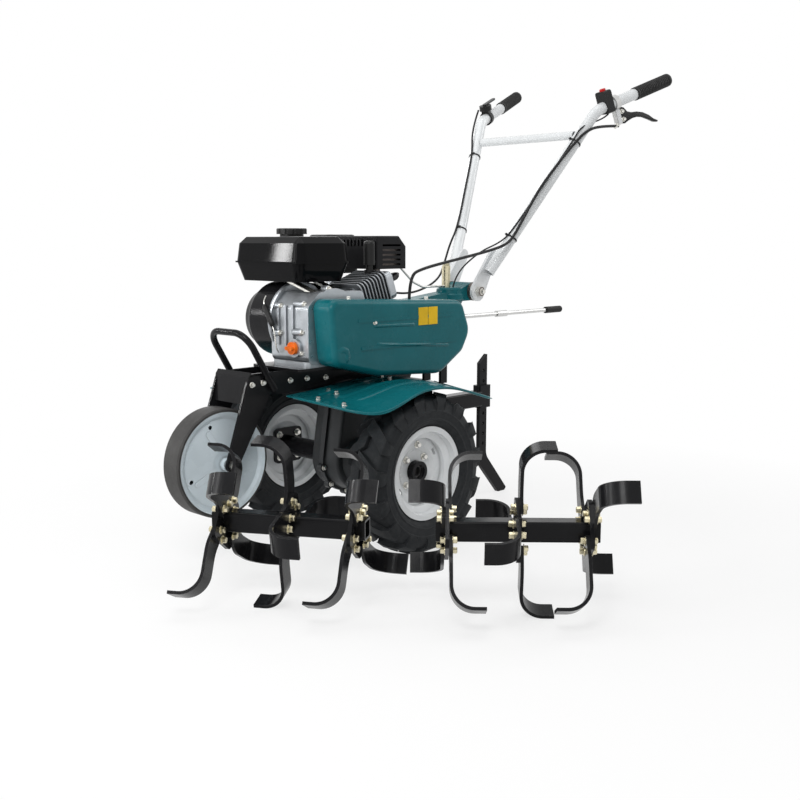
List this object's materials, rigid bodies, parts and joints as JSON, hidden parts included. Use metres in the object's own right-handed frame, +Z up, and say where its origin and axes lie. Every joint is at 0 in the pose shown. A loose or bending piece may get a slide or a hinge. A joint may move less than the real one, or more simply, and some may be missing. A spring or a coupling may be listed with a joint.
{
  "type": "power tiller",
  "caption": "Two-wheel walk-behind power tiller with petrol engine, belt cover, nose wheel, high handlebar, depth bar and its pair of tine rotors standing beside it",
  "frame": {"origin": "middle of the footprint of the machine and its rotors, on the floor", "axes": "+X forward to the nose wheel, +Y to the driver's left, +Z up"},
  "size_m": [1.7544, 1.2604, 1.241],
  "materials": {
    "axle_steel": "satin",
    "black_paint": "gloss",
    "white_paint": "gloss",
    "teal_paint": "gloss",
    "tyre_rubber": "matte",
    "grip_rubber": "matte",
    "grey_casting": "matte",
    "bare_alloy": "satin",
    "pale_paint": "satin",
    "dark_steel": "matte",
    "black_plastic": "satin",
    "orange_plastic": "gloss",
    "cable_sheath": "satin"
  },
  "bodies": {
    "chassis": {"air_cleaner": "black_plastic", "base_rod": "axle_steel", "belt_cover": "teal_paint", "belt_cover_back": "teal_paint", "carburettor": "bare_alloy", "cover_stays": "black_paint", "crankcase": "bare_alloy", "cylinder_fins": "bare_alloy", "cylinder_head_cover": "bare_alloy", "exhaust_pipe": "dark_steel", "exhaust_post": "dark_steel", "fan_shroud": "black_paint", "fender_brackets": "black_paint", "front_axle_bolt": "axle_steel", "front_bumper": "black_paint", "front_fork": "black_paint", "fuel_cap": "black_plastic", "fuel_tank": "black_paint", "gear_lever": "axle_steel", "gear_lever_grip": "grip_rubber", "gearbox_housing": "grey_casting", "handlebar_base": "teal_paint", "input_bearing": "grey_casting", "left_fender": "teal_paint", "lock_sleeve": "axle_steel", "lower_cables": "cable_sheath", "main_frame": "black_paint", "muffler": "dark_steel", "muffler_guard": "black_paint", "oil_plug": "orange_plastic", "pivot_bolt": "axle_steel", "pivot_discs": "dark_steel", "rear_hitch": "black_paint", "recoil_starter": "black_plastic", "right_fender": "teal_paint", "tank_brackets": "axle_steel"},
    "drive_axle": {"axle_shaft": "axle_steel", "left_hub": "black_paint", "left_rim": "white_paint", "left_tyre": "tyre_rubber", "right_hub": "black_paint", "right_rim": "white_paint", "right_tyre": "tyre_rubber"},
    "front_wheel": {"front_wheel_disc": "pale_paint", "front_tyre": "tyre_rubber"},
    "handlebar": {"clutch_lever": "axle_steel", "clutch_lever_mount": "black_plastic", "handlebar_crossbar": "white_paint", "kill_switch": "black_plastic", "left_grip": "grip_rubber", "left_handlebar_arm": "white_paint", "right_grip": "grip_rubber", "right_handlebar_arm": "white_paint", "throttle_control": "black_plastic", "upper_cables": "cable_sheath"},
    "depth_bar": {"depth_stake": "black_paint"},
    "right_rotor": {"right_rotor_frame": "black_paint", "right_rotor_tines": "black_paint"},
    "left_rotor": {"left_rotor_frame": "black_paint", "left_rotor_tines": "black_paint"}
  },
  "joints": [
    {"name": "drive_wheels", "type": "hinge", "parent": "chassis", "child": "drive_axle", "pos_m": [0.18141, -0.3242, 0.2], "axis": [0, 1, 0], "continuous": true},
    {"name": "nose_wheel", "type": "hinge", "parent": "chassis", "child": "front_wheel", "pos_m": [0.59041, -0.3242, 0.249], "axis": [0, 1, 0], "continuous": true},
    {"name": "handlebar_tilt", "type": "hinge", "parent": "chassis", "child": "handlebar", "pos_m": [-0.27359, -0.3242, 0.612], "axis": [0, -1, 0], "range_deg": [0, 30]},
    {"name": "depth_bar_slide", "type": "slide", "parent": "chassis", "child": "depth_bar", "axis": [0, 0, 1], "range_m": [0, 0.12]},
    {"name": "right_rotor_place", "type": "slide", "parent": "chassis", "child": "right_rotor", "axis": [0.8572, 0.515, 0], "range_m": [0, 0.2]},
    {"name": "left_rotor_place", "type": "slide", "parent": "chassis", "child": "left_rotor", "axis": [-0.6782, 0.7349, 0], "range_m": [0, 0.2]}
  ]
}
